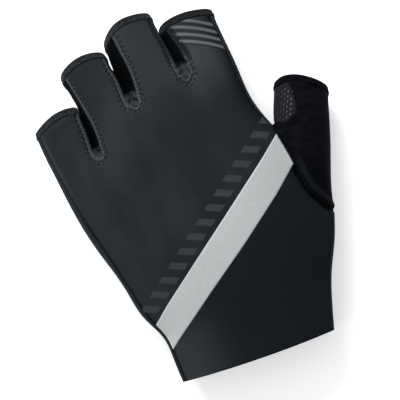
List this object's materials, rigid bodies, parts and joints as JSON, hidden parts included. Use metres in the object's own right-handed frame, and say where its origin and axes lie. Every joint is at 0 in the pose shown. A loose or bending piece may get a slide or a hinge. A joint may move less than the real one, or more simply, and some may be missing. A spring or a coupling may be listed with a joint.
{
  "type": "fingerless cycling mitt",
  "caption": "Fingerless cycling mitt for the left hand, with strips between the fingers, a suede thumb, a perforated inset and a slanting light stripe.",
  "frame": {"origin": "under the middle of the glove's box, on the surface it lies on", "axes": "+Y from the wrist to the fingertips, +X to the thumb, +Z out of the back of the hand"},
  "size_m": [0.1288, 0.1608, 0.0367],
  "materials": {
    "back_fabric": "smooth stretch knit, slate black",
    "palm_suede": "matte synthetic suede",
    "strip_fabric": "ribbed stretch knit",
    "thumb_suede": "matte black suede",
    "thumb_mesh": "perforated mesh",
    "hem_fabric": "folded and stitched band",
    "reflective_film": "light grey reflective film"
  },
  "bodies": {
    "root": {"back_panel": "back_fabric", "palm_panel": "palm_suede", "fourchette_pinky_ring": "strip_fabric", "fourchette_ring_middle": "strip_fabric", "fourchette_middle_index": "strip_fabric", "thumb_sleeve": "thumb_suede", "thumb_mesh": "thumb_mesh", "hem_pinky": "hem_fabric", "hem_ring": "hem_fabric", "hem_middle": "hem_fabric", "hem_index": "hem_fabric", "hem_thumb": "thumb_suede", "reflective_stripe": "reflective_film"}
  },
  "joints": []
}
